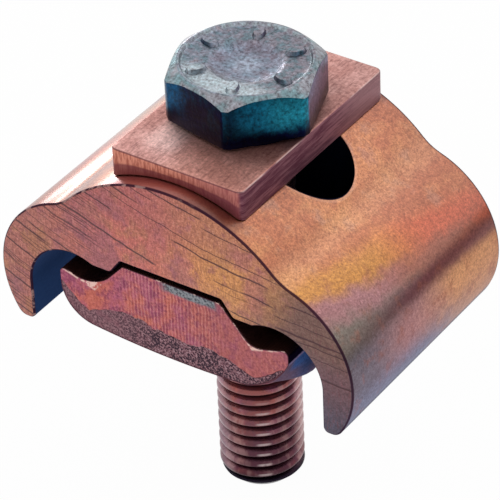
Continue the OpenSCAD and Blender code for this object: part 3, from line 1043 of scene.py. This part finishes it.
def bolt_steel():
    """Plated head, grey on top and teal to black on its sides with painted light and shade, and a
    copper-brown thread with painted highlights and shade.
    """
    made, g = new_material("bolt_steel")
    point, x, y, z = place(g)
    nx, ny, nz = facing(g)
    cloud = grain(point, 0.35, 3)
    speck = grain(point, 2.4, 3, 0.7)
    blotch = grain(stretched(point, 1, 1, 0.5), 0.9, 4, 0.65)
    away = reach(x, y)

    # Head: grey top with a paler dish and painted highlights on its rim and front, teal sides given
    # painted light and shade face by face, and painted shade at their foot
    across = x * 0.83 + y * 0.56 + (cloud - 0.5) * 8
    top = layered(
        mix(across.rise(-6, 5), (0.235, 0.245, 0.30), (0.24, 0.225, 0.265)),
        (blotch.rise(0.45, 0.6) * 0.65, (0.10, 0.185, 0.215)),
        (blotch.rise(0.42, 0.3) * 0.55, (0.34, 0.26, 0.27)),
        (away.rise(DISH_R + 0.3, DISH_R - 0.8) * 0.5, (0.25, 0.28, 0.37)),
        (abs(away - 3.2).rise(1.4, 0.3) * cloud.rise(0.45, 0.58) * 0.5, (0.17, 0.115, 0.14)),
        (away.rise(2.2, 0.6) * 0.45, (0.42, 0.47, 0.56)),
        # Painted highlight on the rim of the flat and across the front of the top
        (abs(away - 7.2).rise(0.3, 0.1) * blotch.rise(0.38, 0.55) * 0.45, (0.45, 0.50, 0.52)),
        (y.rise(-2.5, -5.0) * away.rise(7.3, 6.6) * 0.65, (0.56, 0.64, 0.67)),
        (away.rise(7.45, 7.6), mix(cloud.rise(0.42, 0.58), (0.19, 0.275, 0.30), (0.29, 0.285, 0.315))))
    top = mottled(top, speck, 0.8)
    # Painted light and shade: each side of the hexagon takes its own colour from the way it faces
    teal = layered(
        mix(nx.rise(0.1, 0.5), (0.004, 0.058, 0.14), (0.014, 0.175, 0.245)),
        ((x + y * 0.3 + (blotch - 0.5) * 4).rise(-7.2, -4.4) * nx.rise(0.5, 0.1), (0.005, 0.005, 0.022)),
        (x.rise(8.0, 5.0) * nx.rise(0.5, 0.7) * 0.75, (0.004, 0.062, 0.13)),
        (x.rise(5.0, 3.2) * nx.rise(0.15, 0.4) * 0.92, (0.004, 0.012, 0.03)),
        (ny.rise(-0.2, 0.1) * 0.6, (0.05, 0.085, 0.13)),
        (ny.rise(-0.2, 0.1) * nx.rise(0.4, 0.8), (0.12, 0.085, 0.17)),
        (blotch.rise(0.50, 0.62) * 0.45, (0.004, 0.025, 0.045)))
    # Painted shade towards the foot of the sides, next to the washer
    tall = (z + (blotch - 0.5) * 3).rise(HEAD_Z + 0.9, HEAD_Z + 2.9)
    side = mottled(mix(tall, (0.002, 0.004, 0.026), teal), speck, 0.8)
    side = mix(speck.rise(0.6, 0.72) * 0.12, side, (0.09, 0.10, 0.12))
    head = mix(nz.rise(0.25, 0.6), side, top)

    # Thread: patches of paste, painted shade in the roots, painted highlights and dark reflections round
    # the crests, painted light just under the jaw, and dark towards the end
    on_thread = z.rise(HEAD_Z - 0.1, HEAD_Z - 0.2)
    crest = away.rise(BOLT_R - 0.65, BOLT_R - 0.04)
    patchy = (cloud + (blotch - 0.5) * 0.4).rise(0.4, 0.6)
    paste = mix(patchy, (0.37, 0.092, 0.075), (0.26, 0.07, 0.10))
    streak = grain(shifted(stretched(point, 0.55, 0.55, 0.1), 4, 2, 7), 1.0, 3, 0.6)
    crest_glint_line = away.rise(BOLT_R - 0.035, BOLT_R - 0.004)
    ahead = (x * 0.61 - y * 0.79) / BOLT_R
    right = (x * 0.79 + y * 0.61) / BOLT_R
    thread = layered(
        # Painted shade in the roots
        mix(crest, (0.12, 0.042, 0.05), paste),
        (streak.rise(0.48, 0.58) * 0.35, (0.07, 0.022, 0.035)),
        ((z + (cloud - 0.5) * 8).rise(-13, -25) * 0.72, (0.06, 0.022, 0.038)),
        # Painted highlights on the crests (pale streaks, glints on the right, left and front) and
        # painted dark reflection between the front and the right and on the lower front
        (streak.rise(0.48, 0.36) * crest * 0.35, (0.56, 0.33, 0.31)),
        (abs(right - 0.5).rise(0.3, 0.1) * 0.4, (0.10, 0.035, 0.05)),
        (right.rise(0.68, 0.97) * z.rise(-28, -23) * crest * 0.65, (0.66, 0.46, 0.46)),
        # Painted light on the turns just under the jaw
        (z.rise(-7, -4.5) * crest * 0.4, (0.80, 0.42, 0.34)),
        (right.rise(-0.6, -0.95) * crest * 0.4, (0.50, 0.37, 0.43)),
        (ahead.rise(0.7, 0.95) * z.rise(-20, -26) * 0.5, (0.03, 0.013, 0.02)),
        (crest_glint_line * ahead.rise(0.975, 0.997) * z.rise(-15, -19) * 0.35, (0.85, 0.72, 0.70)),
        (speck.rise(0.55, 0.7) * 0.4, (0.09, 0.035, 0.045)),
        (z.rise(-26.6, -28.2), (0.016, 0.012, 0.022)))
    base = mix(on_thread, head, thread)
    rough = 0.24 + speck * 0.2
    return surface(made, base, rough, speck * 0.8 + blotch * 0.6, 0.035,
                   Coat_Weight=on_thread * z.rise(-28.2, -18) * 0.55, Coat_Roughness=0.1)


def jaw_copper():
    """Copper jaw: burnished red where sheared, grey and coarse where torn, blue tints on the sides with
    painted reflection, shade and highlight, and painted shade on top.
    """
    made, g = new_material("jaw_copper")
    point, x, y, z = place(g)
    _, ny, nz = facing(g)
    end = abs(ny).rise(0.45, 0.8)
    cloud = grain(point, 0.28, 3)
    blotch = grain(point, 0.9, 4, 0.65)
    strokes = grain(stretched(point, 4.5, 1.0, 0.5), 1.0, 3, 0.7)
    speck = grain(point, 3.6, 3, 0.7)
    hatch = ((x / HATCH_PITCH + (cloud - 0.5) * 2) * (2 * math.pi)).math("SINE") * 0.5 + 0.5
    sunk = from_end(y, JAW_LOW, JAW_HIGH)
    torn = end * sunk.rise(0.03, 0.09)

    # Sheared ends: red and hatched above the tear, grey and coarse below it
    hatched = (x + (blotch - 0.5) * 5).rise(-8, -5) * x.rise(8, 4) * strokes.rise(0.35, 0.55)
    red = layered(
        mix(cloud.rise(0.4, 0.6), (0.54, 0.155, 0.12), (0.43, 0.125, 0.18)),
        (blotch.rise(0.48, 0.62) * 0.6, (0.26, 0.065, 0.125)),
        (x.rise(-1, 8) * 0.55, (0.33, 0.115, 0.14)),
        (strokes.rise(0.54, 0.66) * 0.3, (0.20, 0.05, 0.08)),
        (strokes.rise(0.45, 0.36) * 0.25, (0.70, 0.31, 0.24)),
        (hatch.rise(0.6, 0.95) * hatched * 0.35, (0.16, 0.04, 0.07)),
        (hatch.rise(0.3, 0.0) * hatched * 0.35, (0.80, 0.42, 0.36)))
    red = mottled(red, speck, 0.4)
    coarse = (x + (cloud - 0.5) * 8).rise(-8, -3)
    clump = speck * 0.6 + blotch * 0.4
    grey = layered(
        mix(speck.rise(0.42, 0.6), (0.17, 0.085, 0.105), (0.42, 0.24, 0.265)),
        (blotch.rise(0.45, 0.6) * 0.5, (0.30, 0.13, 0.16)),
        (coarse * clump.rise(0.53, 0.46) * 0.8, (0.04, 0.028, 0.045)),
        (coarse * clump.rise(0.54, 0.62) * 0.5, (0.58, 0.45, 0.49)))
    lip = abs(sunk.rise(0.02, 0.09) - 0.45).rise(0.4, 0.1)
    burr = (z + (blotch - 0.5) * 0.9).rise(5.5, 5.9) * (x + blotch).rise(-1.2, 0.2) * x.rise(6.2, 5.6)
    torn_metal = mix(speck.rise(0.4, 0.6), (0.08, 0.09, 0.105), (0.29, 0.30, 0.32))
    flank = JAW_HIGH.z - (abs(x) - BLOCK_HALF) * math.tan(math.radians(BLOCK_FLANK))
    wing = JAW_HIGH.z - TIP_DROP - (JAW_HIGH.x - abs(x)) * math.tan(math.radians(WING_SLOPE))
    below_edge = flank.least(JAW_HIGH.z).most(wing) - z
    flakes = below_edge.rise(0.35, 0.05) * blotch.rise(0.43, 0.50)
    flakes = flakes * abs(x).rise(8.6, 9.6) * x.rise(14.2, 13.4)
    face = layered(
        mix(torn, red, grey),
        (lip * end * 0.5, (0.62, 0.36, 0.34)),
        (burr, torn_metal),
        (flakes * 0.85, (0.88, 0.62, 0.54)))

    # Drawn sides with blue tints, painted shade on top and painted shade with pale spots along the rim
    # round both ends
    bloom = grain(stretched(point, 1.0, 0.25, 1.0), 0.25, 3)
    outer = abs(x).rise(14.5, 15.0)
    side = layered(
        mix(bloom.rise(0.4, 0.62), (0.05, 0.075, 0.17), (0.13, 0.09, 0.135)),
        (sunk.rise(4.0, 1.0), (0.15, 0.098, 0.145)),
        # Painted reflection: a blue patch on the sides near the ends
        (z.rise(-0.4, 0.8) * sunk.rise(0.6, 1.8) * sunk.rise(7.0, 4.0), (0.06, 0.12, 0.30)),
        (nz.rise(-0.3, -0.8) * bloom.rise(0.35, 0.6), (0.22, 0.09, 0.075)),
        # Painted shade above the side edge, where the jaw sits in the body's groove; painted highlight
        # along that edge near the ends
        (outer * z.rise(SIDE_EDGE_Z, SIDE_EDGE_Z + 0.3), (0.012, 0.006, 0.016)),
        (outer * abs(z - SIDE_EDGE_Z).rise(0.22, 0.08) * sunk.rise(8, 3), (0.34, 0.26, 0.42)))
    side = mottled(side, speck, 0.4)
    # Painted shade on the top, which lies in the gap under the body
    back = mottled(mix(bloom.rise(0.4, 0.6), (0.09, 0.03, 0.03), (0.17, 0.062, 0.048)), speck, 0.4)
    # Painted shade along the rounded edge of both ends, with pale spots that are partly wear and partly
    # painted highlight
    rim = sunk.rise(0.16, 0.1) * (1 - abs(ny).rise(0.8, 0.97)) * abs(ny).rise(0.1, 0.3)
    rim_shade_and_wear = mix(blotch.rise(0.56, 0.64) * z.rise(0, 3), (0.07, 0.025, 0.04), (0.80, 0.52, 0.46))
    base = layered(
        mix(end, side, face),
        (nz.rise(0.2, 0.5) * (1 - end), back),
        (rim * 0.8, rim_shade_and_wear))
    rough = 0.40 + torn * 0.25 + speck * 0.1
    height = (strokes * 0.6 + hatch * 0.3) * (1 - torn) + speck * (0.3 + torn * 1.6)
    return surface(made, base, rough, height, 0.04, Specular_Tint=(0.45, 0.45, 0.5, 1))


# Camera, light and floor

CAMERA_AZIMUTH = 35.33
CAMERA_ELEVATION = 35.90
CAMERA_ROLL = -2.48
CAMERA_DISTANCE = 375.6
CAMERA_AIM = Vector((-0.8, 0.35, 1.05))
PICTURE = 500
FOCAL_PIXELS = 3353
SENSOR = 36.0


def direction(azimuth, elevation):
    """Unit vector towards a place round the object; azimuth 0 is in front."""
    a, e = math.radians(azimuth), math.radians(elevation)
    return Vector((math.sin(a) * math.cos(e), -math.cos(a) * math.cos(e), math.sin(e)))


def set_camera():
    """Long-lens camera at the photographed angle."""
    data = bpy.data.cameras.new("camera")
    data.sensor_width = SENSOR
    data.lens = FOCAL_PIXELS / PICTURE * SENSOR
    data.clip_start, data.clip_end = 0.01, 20
    camera = new_object("camera", data)
    back = direction(CAMERA_AZIMUTH, CAMERA_ELEVATION)
    level = Vector((0, 0, 1)).cross(back).normalized()
    upright = back.cross(level)
    roll = math.radians(CAMERA_ROLL)
    right = level * math.cos(roll) + upright * math.sin(roll)
    up = upright * math.cos(roll) - level * math.sin(roll)
    turn = Matrix((right, up, back)).transposed().to_4x4()
    camera.matrix_world = Matrix.Translation((CAMERA_AIM + back * CAMERA_DISTANCE) * MM) @ turn
    bpy.context.scene.camera = camera


def soft_box(name, azimuth, elevation, distance, width, height, brightness):
    """A lamp that looks at the object; a brightness of 1 is that of white surroundings."""
    data = bpy.data.lights.new(name, "AREA")
    data.shape = "RECTANGLE"
    data.size, data.size_y = width, height
    data.energy = brightness * math.pi * width * height
    lamp = new_object(name, data)
    away = direction(azimuth, elevation)
    turn = away.to_track_quat("Z", "Y").to_matrix().to_4x4()
    lamp.matrix_world = Matrix.Translation(away * distance) @ turn


def seen_by(g, *kinds):
    """1 for rays of these kinds and 0 for all others."""
    path = g.add("ShaderNodeLightPath").socket.node.outputs
    first, *others = [Wire(g, path[f"Is {kind} Ray"]) for kind in kinds]
    for other in others:
        first = first.most(other)
    return first


def set_world(strength=0.8):
    """White surroundings: full white to the camera and in reflections, softer as light."""
    world = bpy.data.worlds.new("studio")
    bpy.context.scene.world = world
    g = empty_graph(world)
    level = strength + seen_by(g, "Camera", "Transmission", "Glossy") * (1 - strength)
    light = g.add("ShaderNodeBackground", {}, {"Color": (1, 1, 1, 1), "Strength": level})
    g.end("ShaderNodeOutputWorld", "Surface", light)


def stage_plate(name, outline, height, material):
    """Flat plate of the stage from its outline in metres."""
    piece = new_piece(name, [(x, y, height) for x, y in outline], [tuple(range(len(outline)))])
    piece.data.materials.append(material)
    return piece


def floor_white():
    """Pale floor that reads as white to the camera and keeps a faint shadow."""
    made, g = new_material("floor_white")
    matte = g.add("ShaderNodeBsdfDiffuse", {}, {"Color": (0.9, 0.9, 0.9, 1)})
    glow = g.add("ShaderNodeEmission", {}, {"Color": (1, 1, 1, 1), "Strength": 1.0})
    seen = seen_by(g, "Camera", "Glossy")
    blend = g.add("ShaderNodeMixShader", {}, {0: seen * 0.97, 1: matte, 2: glow})
    g.end("ShaderNodeOutputMaterial", "Surface", blend)
    return made


def flag_black():
    """Dark cloth on the right of the table, seen only in reflections."""
    made, g = new_material("flag_black")
    matte = g.add("ShaderNodeBsdfDiffuse", {}, {"Color": (0.04, 0.04, 0.05, 1)})
    g.end("ShaderNodeOutputMaterial", "Surface", matte)
    return made


FLOOR_Z = BOLT_LOW.z * MM
FLOOR_R = 3.0
FLAG_R = 0.17
FLAG_START = -60
FLAG_END = 100
FLAG_LIFT = 0.001

steel = bolt_steel()
finish_piece(make_clamp_body(), "clamp_body", body_copper(), "clamp_body")
finish_piece(make_saddle_washer(), "saddle", washer_copper(), "saddle_washer")
finish_piece(make_hex_bolt(steel), "bolt", steel, "hex_bolt")
finish_piece(make_head_marks(steel), "bolt", steel)
finish_piece(make_clamp_jaw(), "jaw", jaw_copper(), "clamp_jaw")

set_camera()
set_world()
soft_box("back_left_box", -130, 8, distance=0.5, width=0.18, height=0.10, brightness=8.0)
soft_box("high_box", 165, 55, distance=0.6, width=0.4, height=0.4, brightness=0.3)
stage_plate("floor", arc((0, 0), FLOOR_R, 0, 360)[:-1], FLOOR_Z, floor_white())
flag_outline = arc((0, 0), FLOOR_R, FLAG_START, FLAG_END) + arc((0, 0), FLAG_R, FLAG_END, FLAG_START)
flag = stage_plate("dark_flag", flag_outline, FLOOR_Z + FLAG_LIFT, flag_black())
flag.visible_camera = False
bpy.context.scene.view_settings.view_transform = "Standard"
